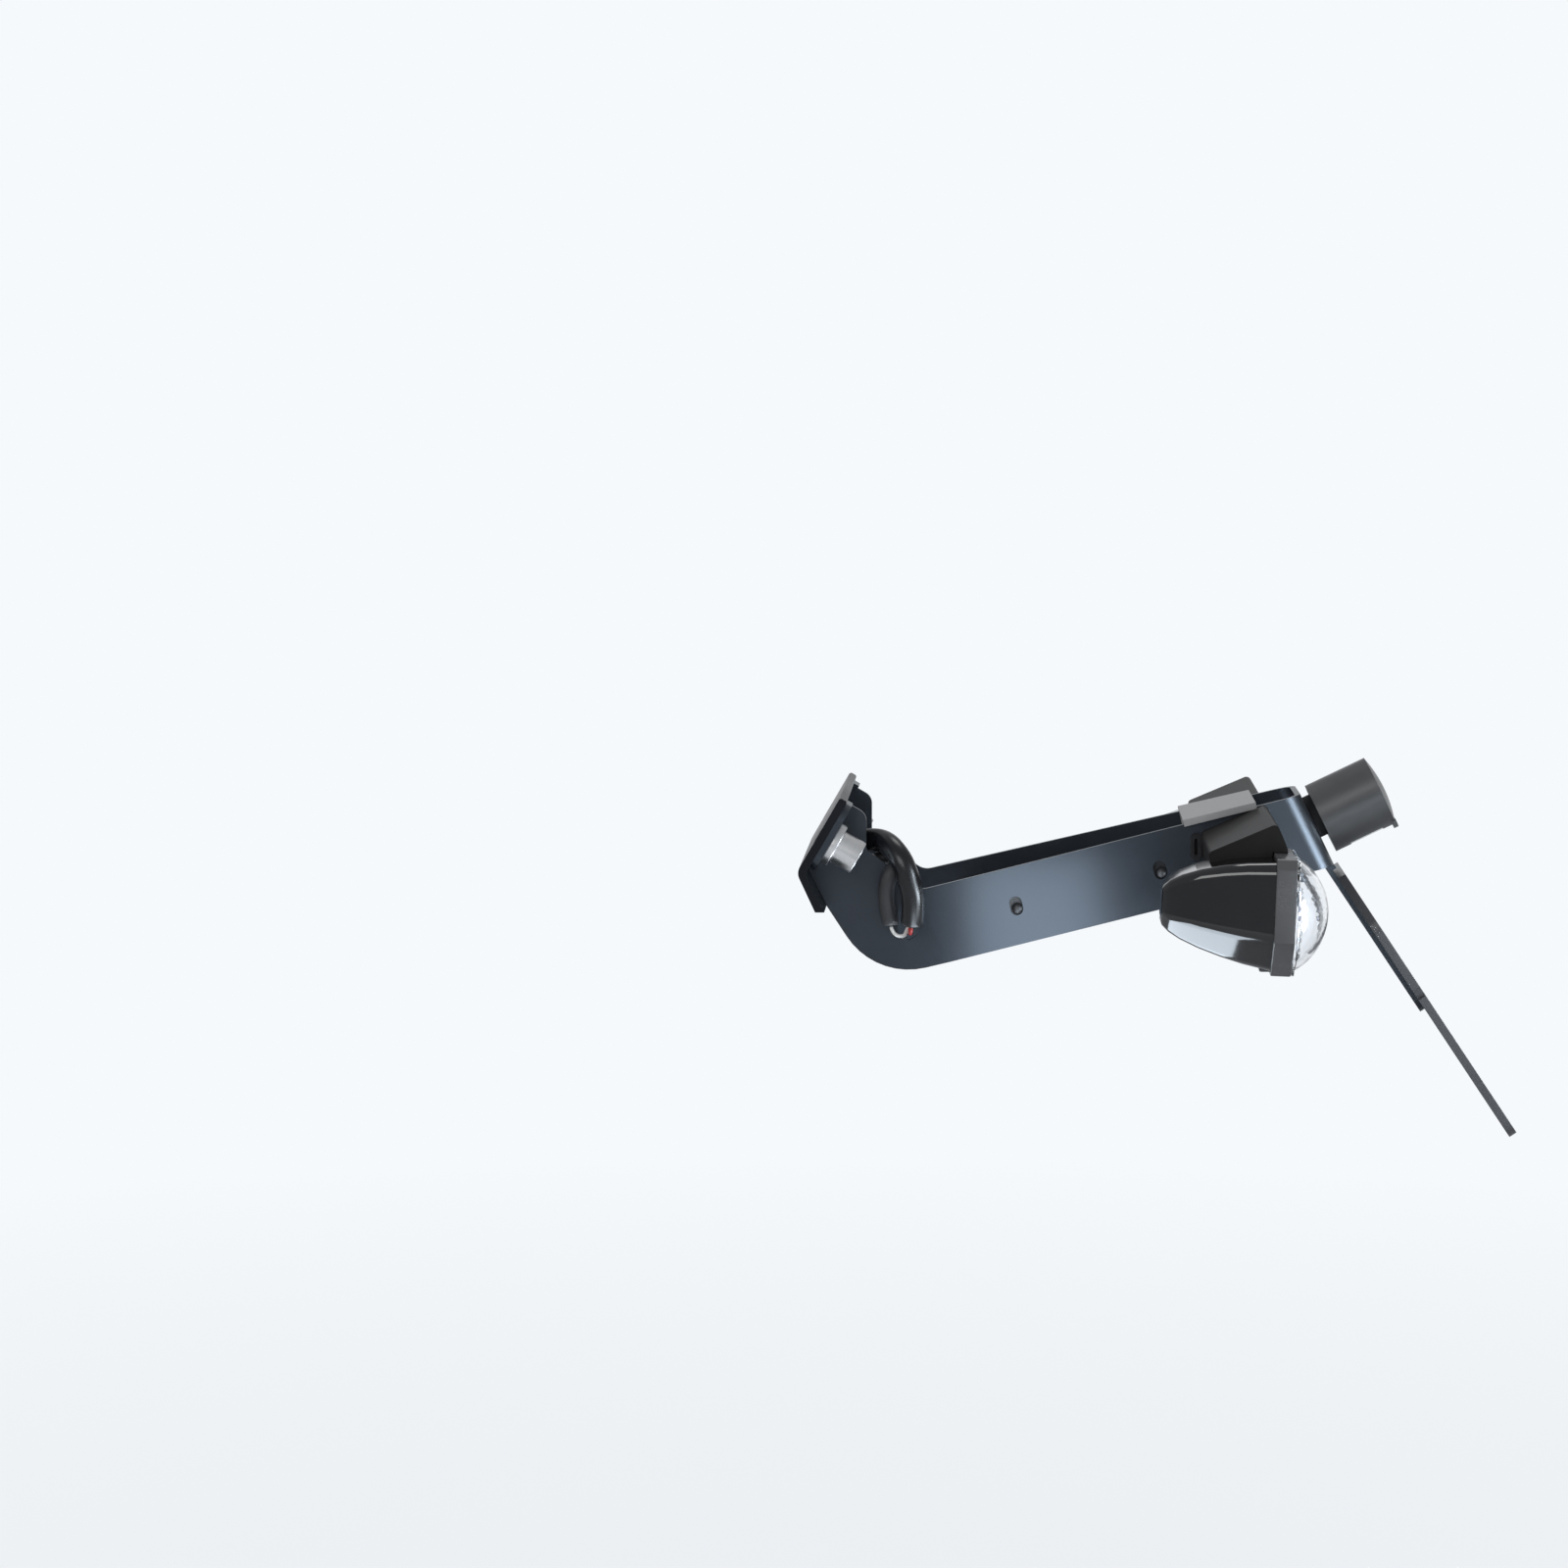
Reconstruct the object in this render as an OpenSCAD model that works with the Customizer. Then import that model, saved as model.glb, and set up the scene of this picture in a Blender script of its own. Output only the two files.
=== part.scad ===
// Tail tidy: a folded bracket that carries the number plate, its lamp and two indicators.
// X runs to the rear, Y to the right of the motorbike and Z up. The origin is the middle of the
// face that meets the frame, level with the two bolts.

/* [Arm] */
// Slope of the arm above the horizontal, in degrees
arm_slope = 13.8; // [10:0.2:18]
// Depth of the side walls, square to the arm
wall_h = 36.8; // [32:0.2:44]
// Thickness of the bracket's sheet
wall_t = 2.5; // [2:0.1:3.5]
// Height of the arm's top edge under the origin
arm_drop = 39.2; // [36:0.2:42]
// Half of the width over the walls at the front
front_half = 45; // [42:0.5:50]
// Distance from the origin to where the walls start to close in
bend_x = 29; // [22:0.5:36]
// Angle at which each wall closes in, in degrees
closing = 5.5; // [3:0.1:6.5]
// Distance from the origin to the kink under the rear plate, along X
kink_x = 245.8; // [238:0.2:262]
// Lean of the rear plate from the upright, in degrees
end_lean = 26; // [23:0.5:30]
// Outer radius of the two rear bends
rear_bend_r = 10; // [6:0.5:12]
// Radius of the lower front corner of each wall
front_corner_r = 35; // [25:1:38]

/* [Front mounting] */
// Slope of the bolts below the horizontal, in degrees
mount_drop = 30; // [26:0.5:33]
// Distance from each wall's outer face to its bolt, along Y
bolt_off = 12; // [11:0.2:15]
// Radius of the bolt holes
bolt_hole_r = 4.25; // [3.2:0.05:5]
// Distance from the bolts to the end of the adaptor, along Y
mount_edge = 11.5; // [11:0.5:17]
// Thickness of the adaptor
adaptor_t = 4; // [3:0.1:5]
// Thickness of the bracket's ears
ear_t = 3; // [2:0.1:4]
// Height of the adaptor's upper leg above the bolts
leg_up = 21.7; // [20:0.1:26]
// Distance from the bolts down to the adaptor's fold
leg_down = 19.4; // [18:0.1:22]
// Length of the adaptor's lower leg
lower_leg = 20.8; // [14:0.1:22]
// Slope of the adaptor's lower leg below the horizontal, in degrees
lower_leg_slope = 65; // [60:0.5:70]
// Radius of the collars' flanges
collar_flange_r = 10.5; // [9:0.1:11]
// Thickness of the collars' flanges
collar_flange_t = 3.5; // [2:0.1:5]
// Radius of the collars' bodies
collar_r = 8; // [6.5:0.1:8.8]
// Length of a collar with its flange
collar_len = 15; // [10:0.1:18]

/* [Cable cover] */
// Thickness of the cover
cover_t = 1.8; // [1.2:0.1:2.5]
// Start of the cover along the arm
cover_from = 66; // [60:1:76]
// End of the cover along the arm
cover_to = 174; // [168:1:176]
// Height of the cover's sides
cover_h = 26; // [22:0.5:30]
// Position of the first snap slot along the arm
slot_from = 92.1; // [84:0.1:100]
// Distance between the snap slots
slot_pitch = 70.5; // [60:0.5:76]
// Width of a snap slot
slot_w = 6; // [5.4:0.1:7]
// Height of a snap slot
slot_h = 9; // [8:0.1:11]
// Radius of the snap pips
pip_r = 2.6; // [1.8:0.05:2.7]

/* [Wiring] */
// Width of the cable slots in the walls
cable_slot_w = 9; // [8:0.5:13]
// Height of the cable slots
cable_slot_h = 18; // [16:0.5:20]
// Diameter of the main sleeve
sleeve_d = 11.4; // [9:0.1:11.6]
// Diameter of the second sleeve
strand_d = 8.4; // [6:0.1:8.6]
// Diameter of the single wires
wire_d = 2; // [1.4:0.1:2]
// Diameter of the sleeve inside the arm
trunk_d = 7; // [5:0.1:8]

/* [Indicator saddle] */
// Start of the saddle along the arm
saddle_from = 178.6; // [176:0.2:182]
// Length of the saddle
saddle_len = 35.6; // [33:0.2:37]
// Depth of the saddle's outer edges under the wall's top edge
saddle_h = 1; // [0.4:0.1:6]
// Depth of the saddle's inner legs under the wall's top edge
leg_h = 27; // [25:0.5:29]
// Thickness of the saddle
saddle_t = 2; // [1.5:0.1:2.5]
// Position of the indicator studs along the arm
stud_along = 200.7; // [198:0.1:203]
// Depth of the indicator studs under the wall's top edge
stud_down = 17.2; // [15:0.1:19]
// Radius of the hollow indicator studs
stud_r = 4; // [3:0.1:5]
// Radius of the wire passage in the studs and stems
passage_r = 2; // [1.2:0.1:2.4]
// Length of the studs past the saddle's inner legs
stud_inside = 7; // [6:0.1:9]
// Length of the studs inside the stems
stud_in_stem = 12; // [8:0.5:18]
// Across the flats of the stud nuts
nut_af = 13; // [12:0.5:14]
// Thickness of the stud nuts
nut_t = 5.5; // [4:0.1:6]

/* [Indicators] */
// Distance of the indicator heads from the middle
head_y = 125; // [118:0.5:135]
// Position of the front of the bezel along X
bezel_x = 209.8; // [208:0.2:213]
// Tilt of the heads, in degrees
head_tilt = 2; // [0:0.2:4]
// Depth of the heads under the origin
head_down = 27.5; // [26:0.2:29]
// Half of the width of the bezel
bezel_r = 27.5; // [27:0.1:29]
// Wall of the bezel
bezel_wall = 3.2; // [2.6:0.1:4]
// Length of the bezel
bezel_len = 9.5; // [8.5:0.1:12]
// Half of the width of the housing where it meets the bezel
housing_r = 25.6; // [25:0.1:26.5]
// Half of the width of the housing's nose
nose_r = 7; // [6:0.1:10]
// Length of the housing
housing_len = 50.6; // [48:0.2:54]
// Rise of the housing's nose over the middle of the bezel
nose_rise = 2.2; // [1:0.1:4]
// Wall of the housing
shell_t = 2; // [1.6:0.1:2.4]
// Bulge of the lens behind the bezel
lens_bulge = 16.5; // [13:0.1:17.5]
// Thickness of the lens
lens_t = 1.8; // [1.4:0.1:2.4]
// Radius of the bulb
bulb_r = 4.2; // [3:0.1:5]

/* [Number plate lamp] */
// Radius of the lamp
lamp_r = 17.5; // [16:0.1:19]
// Length of the lamp body
lamp_len = 31.3; // [26:0.1:36]
// Height of the lamp's middle above the kink, along the rear plate
lamp_up = 20.3; // [19:0.1:22]
// Thickness of the gasket under the lamp
gasket_t = 4; // [2:0.1:5]
// Radius of the gasket
gasket_r = 13; // [11.5:0.1:14]
// Distance from the gasket's middle down to its flat lower edge
gasket_low = 7; // [6:0.1:11]
// Half of the distance between the lamp's screws
lamp_screw_y = 8; // [7.5:0.1:9]
// Radius of the lamp's screws
lamp_screw_r = 2; // [1.5:0.05:2.4]

/* [Plate holder] */
// Lean of the holder from the upright, in degrees
holder_lean = 33.8; // [31:0.1:36]
// Length of the holder
holder_h = 150; // [140:1:160]
// Width of the holder
holder_w = 120; // [110:1:140]
// Thickness of the holder
holder_t = 4; // [2:0.1:5]
// Length of the carrier tongue
tongue_len = 84; // [78:1:90]
// Width of the carrier tongue at its foot
tongue_foot = 32; // [28:0.5:36]
// Step of the tongue towards the front, under the rear plate
tongue_step = 2.1; // [1:0.1:3]
// Distance between the number plate's holes, across
plate_hole_pitch = 80; // [60:1:90]
// Radius of the number plate's holes
plate_hole_r = 3.25; // [2.6:0.05:4]
// Radius of the rivets that hold the holder
carrier_rivet_r = 3; // [2.5:0.1:3.5]

/* [Hidden] */
$fn = 64;
// Running clearance round anything that slips into its place
fit = 0.3;
// Larger than the part, for cuts that go right through
far = 400;
// Depth by which joined shapes sink into each other
bite = 0.5;

// Points on the arm: along it from under the origin, and up from its top edge
function arm_point(along, up) = [
    along * cos(arm_slope) - up * sin(arm_slope),
    along * sin(arm_slope) + up * cos(arm_slope) - arm_drop];
// Points on the mounting: out from the face, and up along it
function mount_point(out, up) = [
    out * cos(mount_drop) + up * sin(mount_drop),
    up * cos(mount_drop) - out * sin(mount_drop)];
// Height of the arm's bottom edge at a distance from the origin
function arm_bottom(x) = x * tan(arm_slope) - wall_h / cos(arm_slope) - arm_drop;
// A point of the side view seen along the lean of the rear plate
function leaned(p) = [
    p.x * cos(end_lean) + p.y * sin(end_lean),
    p.y * cos(end_lean) - p.x * sin(end_lean)];

bolt_y = front_half + bolt_off;
mount_half = bolt_y + mount_edge;
kink_z = arm_bottom(kink_x);
rear_face = leaned([kink_x, kink_z]).x;
fold = mount_point(0, -leg_down);
lower_dir = [cos(lower_leg_slope), -sin(lower_leg_slope)];
lower_out = [sin(lower_leg_slope), cos(lower_leg_slope)];

// Unit vector
function unit(v) = v / norm(v);
// Arc that rounds corner q, with radius q[2], between its neighbours p and s
function round_corner(p, q, s, step) =
    let (
        a = unit([p.x - q.x, p.y - q.y]),
        b = unit([s.x - q.x, s.y - q.y]),
        half = acos(a * b) / 2,
        c = [q.x, q.y] + unit(a + b) * q[2] / sin(half),
        from = [q.x, q.y] + a * q[2] / tan(half) - c,
        to = [q.x, q.y] + b * q[2] / tan(half) - c,
        start = atan2(from.y, from.x),
        turn = (atan2(to.y, to.x) - start + 900) % 360 - 180,
        steps = ceil(abs(turn) / step))
    [for (i = [0:steps]) c + q[2] * [cos(start + turn * i / steps), sin(start + turn * i / steps)]];
// Outline through corners, each [x, y, radius]
function rounded(corners, step = 8) = let (n = len(corners)) [
    for (i = [0:n - 1])
        each corners[i][2] > 0
            ? round_corner(corners[(i + n - 1) % n], corners[i], corners[(i + 1) % n], step)
            : [[corners[i].x, corners[i].y]]];

// Half width of the walls at a distance along the leaned frame, inset by d
function wall_y(x, d = 0) = front_half - d / cos(closing) - max(0, x - bend_x) * tan(closing);
// Plan of the bracket, inset by d, from a front end to the rear plate
function plan(d, front = -45) =
    let (
        turn = [bend_x - d * tan(closing / 2), front_half - d],
        rear = rear_face - d,
        rear_y = turn.y - (rear - turn.x) * tan(closing),
        r = rear_bend_r - d)
    [[front, -turn.y, 0], [turn.x, -turn.y, 0], [rear, -rear_y, r],
     [rear, rear_y, r], [turn.x, turn.y, 0], [front, turn.y, 0]];

module leaning() {
    rotate([0, -end_lean, 0]) children();
}
module tall(d, front = -45) {
    leaning() translate([0, 0, -far]) linear_extrude(2 * far) polygon(rounded(plan(d, front)));
}
// Slab of the side view between two distances across
module side_slab(corners, y0, y1) {
    translate([0, y1, 0]) rotate([90, 0, 0]) linear_extrude(y1 - y0) polygon(rounded(corners));
}
// Slab of the side view given in the arm's own directions
module arm_slab(from, to, low, high, r = 0) {
    p = [arm_point(from, low), arm_point(to, low), arm_point(to, high), arm_point(from, high)];
    side_slab([for (q = p) [q.x, q.y, r]], -far, far);
}
// Placement on the outer face of the left wall, with Z pointing away from the arm
module on_left_wall(along, down) {
    p = leaned(arm_point(along, -down));
    leaning() translate([p.x, -wall_y(p.x), p.y]) rotate([0, 0, closing]) rotate([90, 0, 0])
        rotate([0, 0, arm_slope - end_lean]) children();
}
module on_mount() {
    rotate([0, mount_drop, 0]) children();
}
module right() {
    mirror([0, 1, 0]) children();
}
module both() {
    children();
    right() children();
}
// Cylinder along X
module rod_x(x0, x1, r) {
    translate([x0, 0, 0]) rotate([0, 90, 0]) cylinder(h = x1 - x0, r = r);
}
// Upright slot with round ends, cut along Z
module obround(w, h, depth) {
    for (s = [-1, 1]) {
        translate([0, s * (h - w) / 2, -depth]) cylinder(h = 2 * depth, d = w);
    }
    translate([-w / 2, -(h - w) / 2, -depth]) cube([w, h - w, 2 * depth]);
}

// Front mounting
inner_fold = fold + unit(mount_point(0, 1) + lower_dir) * adaptor_t / sin(acos(mount_point(0, 1) * lower_dir) / 2);
lower_end = fold + lower_dir * lower_leg;
ear_up = leg_up - 1.7;
ear_down = leg_down - 4.4;
seat = adaptor_t + ear_t;
cable_slot = [42, -42.5];
ear_corner = [22.5, -8];
ear_foot = 48;

module mount_adaptor() {
    top_front = mount_point(0, leg_up);
    top_rear = mount_point(adaptor_t, leg_up);
    color([0.13, 0.14, 0.16]) difference() {
        side_slab([
            [top_rear.x, top_rear.y, 1.2],
            [top_front.x, top_front.y, 1.2],
            [fold.x, fold.y, 6],
            [lower_end.x, lower_end.y, 0],
            [lower_end.x + adaptor_t / sin(lower_leg_slope), lower_end.y, 0],
            [inner_fold.x, inner_fold.y, 2]], -mount_half, mount_half);
        both() on_mount() translate([0, -bolt_y, 0]) rod_x(-bite, adaptor_t + bite, bolt_hole_r);
    }
}
module left_mount_collar() {
    color([0.82, 0.82, 0.83]) on_mount() translate([0, -bolt_y, 0]) difference() {
        union() {
            rod_x(seat, seat + collar_flange_t, collar_flange_r);
            rod_x(seat, seat + collar_len, collar_r);
        }
        rod_x(seat - bite, seat + collar_len + bite, bolt_hole_r);
    }
}

// Arm
front_corner = [26.8, arm_bottom(26.8)];
wall_nose = lower_end + lower_out * (adaptor_t + fit) + lower_dir * 1.6;
wall_inner = inner_fold + [fit * 1.2, 0];
function arm_side() =
    let (
        top = mount_point(adaptor_t + fit, ear_up - 1),
        top_back = mount_point(adaptor_t + 11, ear_up - 1),
        foot_up = arm_point(ear_foot / cos(arm_slope), 0))
    [[top.x, top.y, 0],
     [top_back.x, top_back.y, 6],
     [ear_corner.x, ear_corner.y, 3],
     [foot_up.x, foot_up.y, 8],
     [kink_x + 40, (kink_x + 40) * tan(arm_slope) - arm_drop, 0],
     [kink_x + 40, arm_bottom(kink_x + 40), 0],
     [front_corner.x, front_corner.y, front_corner_r],
     [wall_nose.x, wall_nose.y, 0],
     [wall_inner.x, wall_inner.y, 0]];

module ear() {
    on_mount() translate([adaptor_t, 0, 0]) rotate([90, 0, 90]) linear_extrude(ear_t)
        polygon(rounded([
            [-front_half + wall_t / 2, -ear_down, 0],
            [-front_half + wall_t / 2, ear_up, 0],
            [-mount_half, ear_up, 9],
            [-mount_half, -ear_down, 9]]));
}
module tongue() {
    root = wall_y(rear_face) - rear_bend_r;
    on_holder() {
        translate([-wall_t, 0, 0]) rotate([90, 0, 90]) linear_extrude(wall_t) polygon(rounded([
            [-root, bite, 0],
            [root, bite, 0],
            [tongue_foot / 2, -tongue_len, 7],
            [-tongue_foot / 2, -tongue_len, 7]]));
        translate([-wall_t, -root, -wall_t]) cube([wall_t + tongue_step, 2 * root, wall_t + bite]);
    }
}
lamp_mid = leaned([kink_x, kink_z]).y + lamp_up;
module at_lamp() {
    leaning() translate([rear_face, 0, lamp_mid]) children();
}
carrier_rows = [22, 66];
carrier_half = 10;
rivet_sink = 1.2;
module on_holder() {
    translate([kink_x, 0, kink_z]) rotate([0, -holder_lean, 0]) translate([-tongue_step, 0, 0]) children();
}
// Flush rivet through the tongue and the holder, larger all round by grow
module rivet(grow, past) {
    rod_x(-wall_t - past, holder_t + past, carrier_rivet_r + grow);
    for (end = [[holder_t, 90], [-wall_t, -90]]) {
        translate([end[0], 0, 0]) rotate([0, end[1], 0]) translate([0, 0, -rivet_sink])
            cylinder(h = rivet_sink + past, r1 = carrier_rivet_r + grow,
                r2 = carrier_rivet_r + grow + rivet_sink + past);
    }
}
module at_carrier_rivets() {
    on_holder() for (row = carrier_rows, s = [-1, 1]) {
        translate([0, s * carrier_half, -row]) children();
    }
}
module arm_bracket() {
    color([0.16, 0.18, 0.21]) difference() {
        union() {
            difference() {
                intersection() {
                    tall(0);
                    side_slab(arm_side(), -far, far);
                }
                tall(wall_t, -46);
            }
            both() ear();
            tongue();
        }
        both() {
            on_mount() translate([0, -bolt_y, 0]) rod_x(0, seat + bite, bolt_hole_r);
            for (i = [0, 1]) {
                on_left_wall(slot_from + i * slot_pitch, wall_h / 2) obround(slot_w, slot_h, 2 * wall_t);
            }
            on_left_wall(stud_along, stud_down) translate([0, 0, -2 * wall_t])
                cylinder(h = 4 * wall_t, r = stud_r + fit);
            grommet_hole();
        }
        translate([cable_slot.x, -front_half, cable_slot.y]) rotate([90, 0, 0])
            obround(cable_slot_w, cable_slot_h, 2 * wall_t);
        for (s = [-1, 1]) {
            at_lamp() translate([0, s * lamp_screw_y, 0]) rod_x(-2 * wall_t, wall_t, lamp_screw_r + fit);
        }
        at_lamp() rod_x(-2 * wall_t, wall_t, lead_hole_r);
        at_carrier_rivets() rivet(fit / 15, bite);
    }
}

// Cable cover, a moulded trough that snaps into the walls
cover_low = -wall_h + 1;
module pip() {
    reach = wall_t + fit;
    side = 0.4;
    low = -1.4;
    translate([side, low, -reach - cover_t / 2]) cylinder(h = reach + cover_t / 2 - 1, r = pip_r);
    translate([side, low, -1]) intersection() {
        sphere(r = pip_r);
        translate([-pip_r, -pip_r, -bite]) cube([2 * pip_r, 2 * pip_r, 2 * pip_r]);
    }
}
module cable_cover() {
    color([0.07, 0.07, 0.08]) {
        intersection() {
            difference() {
                tall(wall_t + fit);
                tall(wall_t + fit + cover_t, -46);
            }
            arm_slab(cover_from, cover_to, cover_low, cover_low + cover_h);
        }
        intersection() {
            tall(wall_t + fit);
            arm_slab(cover_from, cover_to, cover_low, cover_low + cover_t);
        }
        both() for (i = [0, 1]) {
            on_left_wall(slot_from + i * slot_pitch, wall_h / 2) pip();
        }
    }
}

// Saddle over the arm, which carries the indicators
saddle_out = fit + saddle_t;
saddle_in = wall_t + fit + saddle_t;
grommet_along = 181.8;
grommet_down = 11.8;
grommet_w = 5.8;
grommet_h = 13.2;
grommet_lip = 1.4;
module at_grommet() {
    on_left_wall(grommet_along, grommet_down) rotate([0, 0, -arm_slope]) children();
}
module grommet_hole() {
    at_grommet() obround(grommet_w - 2, grommet_h - 2, saddle_in + wall_t);
}
module indicator_saddle() {
    color([0.42, 0.43, 0.44]) difference() {
        union() {
            intersection() {
                difference() {
                    tall(-saddle_out);
                    tall(-fit, -46);
                }
                arm_slab(saddle_from, saddle_from + saddle_len, -saddle_h, saddle_out - bite);
            }
            intersection() {
                tall(-saddle_out);
                arm_slab(saddle_from, saddle_from + saddle_len, fit, saddle_out);
            }
            intersection() {
                difference() {
                    tall(wall_t + fit);
                    tall(saddle_in, -46);
                }
                arm_slab(saddle_from, saddle_from + saddle_len, -leg_h, saddle_out - bite);
            }
        }
        both() {
            on_left_wall(stud_along, stud_down) translate([0, 0, -2 * saddle_in])
                cylinder(h = 2 * saddle_in, r = stud_r + fit);
            at_grommet() translate([0, 0, -saddle_in]) obround(grommet_w + 1, grommet_h + 1, saddle_in - wall_t - fit / 2);
        }
    }
}
grommet_skin = 1;
module left_wire_grommet() {
    color([0.03, 0.03, 0.03]) at_grommet() difference() {
        union() {
            translate([0, 0, grommet_lip / 2]) obround(grommet_w, grommet_h, grommet_lip / 2);
            translate([0, 0, -wall_t / 2]) obround(grommet_w - 2 - fit, grommet_h - 2 - fit, wall_t / 2 + bite);
            translate([0, 0, -wall_t - grommet_lip / 2]) obround(grommet_w, grommet_h, grommet_lip / 2);
        }
        for (z = [(grommet_skin - wall_t) / 2 + far, -(grommet_skin + wall_t) / 2 - far]) {
            translate([0, 0, z]) obround(grommet_w - 4.4, grommet_h - 5.6, far);
        }
    }
}

// Indicator stems, studs and nuts
stem_bottom = -25;
stem_front = 181.5;
stem_front_z = -0.2;
stem_front_r = 2;
stem_crest = 212.4;
stem_crest_z = 13.1;
stem_crest_r = 2.5;
stem_back = 217.6;
stem_back_z = 1;
stem_back_r = 14;
stem_rear = 218.4;
stem_foot = 186;
stem_foot_r = 5;
stem_waist = 183;
stem_waist_z = -14.6;
stem_waist_r = 6;
stem_inset = 2;
// Point on the axis of the left stud, outside the wall when the distance is above zero
function stud_axis(out) =
    let (
        p = leaned(arm_point(stud_along, -stud_down)),
        x = p.x + out * sin(closing),
        y = -wall_y(p.x) - out * cos(closing))
    [x * cos(end_lean) - p.y * sin(end_lean), y, x * sin(end_lean) + p.y * cos(end_lean)];
// Round bar from one point to another
module bar(from, to, r, past = 0) {
    d = to - from;
    translate(from) rotate([0, acos(d.z / norm(d)), atan2(d.y, d.x)]) cylinder(h = norm(d) + past, r = r);
}
passage_stop = 34.4;
passage_out = 17;
passage_drop = 9.6;
passage_reach = (head_y - passage_stop - wall_y(leaned(arm_point(stud_along, -stud_down)).x)) / cos(closing);
passage_turn = stud_axis(passage_reach);
passage_end = passage_turn + [0, -passage_out, -passage_drop];
module head_place() {
    translate([bezel_x, -head_y, -head_down]) rotate([0, head_tilt, 0]) rotate([90, 0, 90]) children();
}
// Cross-section of the heads, for a half width w, inset by d and with corners of radius r
function head_outline(w, d, r) =
    let (e = w - d, c = d * 0.4)
    [[-w * 0.855 + c, e * 0.989, min(r, 3 + r / 4)], [-e, w * 0.836 - c, min(r, 3 + r / 4)],
     [-e, -w * 0.4 + c, r], [-w * 0.418 + c, -e * 1.01, r],
     [w * 0.418 - c, -e * 1.01, r], [e, -w * 0.4 + c, r],
     [e, w * 0.836 - c, min(r, 3 + r / 4)], [w * 0.855 - c, e * 0.989, min(r, 3 + r / 4)]];
module head_slice(z, w, d, r, rise = 0, h = 0.2) {
    translate([0, rise, z]) linear_extrude(h) polygon(rounded(head_outline(w, d, r), 15));
}
// Half width of the housing at a share t of its length from the bezel
function housing_half(t) = nose_r + (housing_r - nose_r) * pow(1 - pow(t, 1.3), 0.55);
module housing_form(d, open = 0) {
    last = housing_len - d;
    hull() {
        for (t = [0, 0.25, 0.45, 0.65, 0.82, 0.92, 0.98]) {
            w = housing_half(t);
            head_slice(t > 0 ? -last * t : open, w, d, (w - d) * 0.34, nose_rise * sin(90 * t));
        }
        head_slice(-last, nose_r, d, (nose_r - d) * 0.34, nose_rise);
    }
}
module stem_profile() {
    side_slab([
        [stem_front, stem_front_z, stem_front_r],
        [stem_crest, stem_crest_z, stem_crest_r],
        [stem_back, stem_back_z, stem_back_r],
        [stem_rear, stem_bottom, stem_foot_r],
        [stem_foot, stem_bottom, stem_foot_r],
        [stem_waist, stem_waist_z, stem_waist_r]], -head_y + stem_inset, 0);
}
module left_stem() {
    color([0.10, 0.10, 0.11]) difference() {
        stem_profile();
        tall(0);
        intersection() {
            tall(-saddle_out - fit);
            arm_slab(saddle_from - fit, saddle_from + saddle_len + fit, -saddle_h - fit, far);
        }
        head_place() housing_form(0);
        head_place() head_slice(-fit, bezel_r, -fit, 2, 0, bezel_len + 2 * fit);
        on_left_wall(stud_along, stud_down) translate([0, 0, -bite]) cylinder(h = stud_in_stem + bite, r = stud_r);
        bar(stud_axis(0), passage_turn, passage_r, 1, $fn = 24);
        bar(passage_turn, passage_end, passage_r, $fn = 24);
        at_grommet() obround(grommet_w + 1, grommet_h + 1, grommet_lip + fit);
    }
}
module left_stem_stud() {
    color([0.75, 0.73, 0.62]) on_left_wall(stud_along, stud_down) translate([0, 0, -saddle_in - stud_inside])
        difference() {
            cylinder(h = stud_inside + saddle_in + stud_in_stem, r = stud_r);
            translate([0, 0, -bite]) cylinder(h = stud_inside + saddle_in + stud_in_stem + 2 * bite, r = passage_r);
        }
}
module left_stem_nut() {
    color([0.78, 0.76, 0.66]) on_left_wall(stud_along, stud_down) translate([0, 0, -saddle_in - nut_t]) difference() {
        union() {
            cylinder(h = nut_t, d = nut_af / cos(30), $fn = 6);
            translate([0, 0, nut_t - 1.2]) cylinder(h = 1.2, d = nut_af + 3);
        }
        translate([0, 0, -bite]) cylinder(h = nut_t + 2 * bite, r = stud_r + fit / 10);
    }
}

// Indicator heads
module left_housing() {
    color([0.05, 0.05, 0.06]) difference() {
        head_place() housing_form(0);
        head_place() housing_form(shell_t, 1);
        bar(passage_turn, passage_end, passage_r, $fn = 24);
    }
}
module left_bezel() {
    color([0.17, 0.17, 0.18]) head_place() difference() {
        head_slice(0.2, bezel_r, 0, 2, 0, bezel_len - 0.2);
        head_slice(-bite, bezel_r, bezel_wall, 2, 0, bezel_len + 2 * bite);
    }
}
lens_rim = 1.4;
dome_r = bezel_r * 0.985 - 0.7;
dome_h = lens_bulge - lens_rim;
lens_ball = (dome_r * dome_r + dome_h * dome_h) / (2 * dome_h);
dome_mid = bezel_len + lens_bulge - lens_ball;
spigot = 3;
spigot_r = (bezel_r - bezel_wall) * 0.985 - fit;
module left_lens() {
    foot = bezel_len + lens_rim - bite;
    edge = asin(dome_r / lens_ball);
    inner_edge = acos((foot - dome_mid) / (lens_ball - lens_t));
    color([0.86, 0.90, 0.94, 0.5]) head_place() {
        difference() {
            union() {
                head_slice(bezel_len, bezel_r, fit, 2, 0, lens_rim);
                translate([0, 0, bezel_len - spigot]) cylinder(h = spigot + bite, r = spigot_r);
            }
            translate([0, 0, bezel_len - spigot - bite]) cylinder(h = far, r = spigot_r - lens_t);
        }
        rotate_extrude() polygon(concat(
            [[dome_r, foot]],
            [for (i = [0:12]) let (a = edge * (1 - i / 12)) [lens_ball * sin(a), dome_mid + lens_ball * cos(a)]],
            [for (i = [0:12]) let (a = inner_edge * i / 12)
                [(lens_ball - lens_t) * sin(a), dome_mid + (lens_ball - lens_t) * cos(a)]]));
    }
}
cup_mouth_r = spigot_r;
cup_depth = 24;
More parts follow.
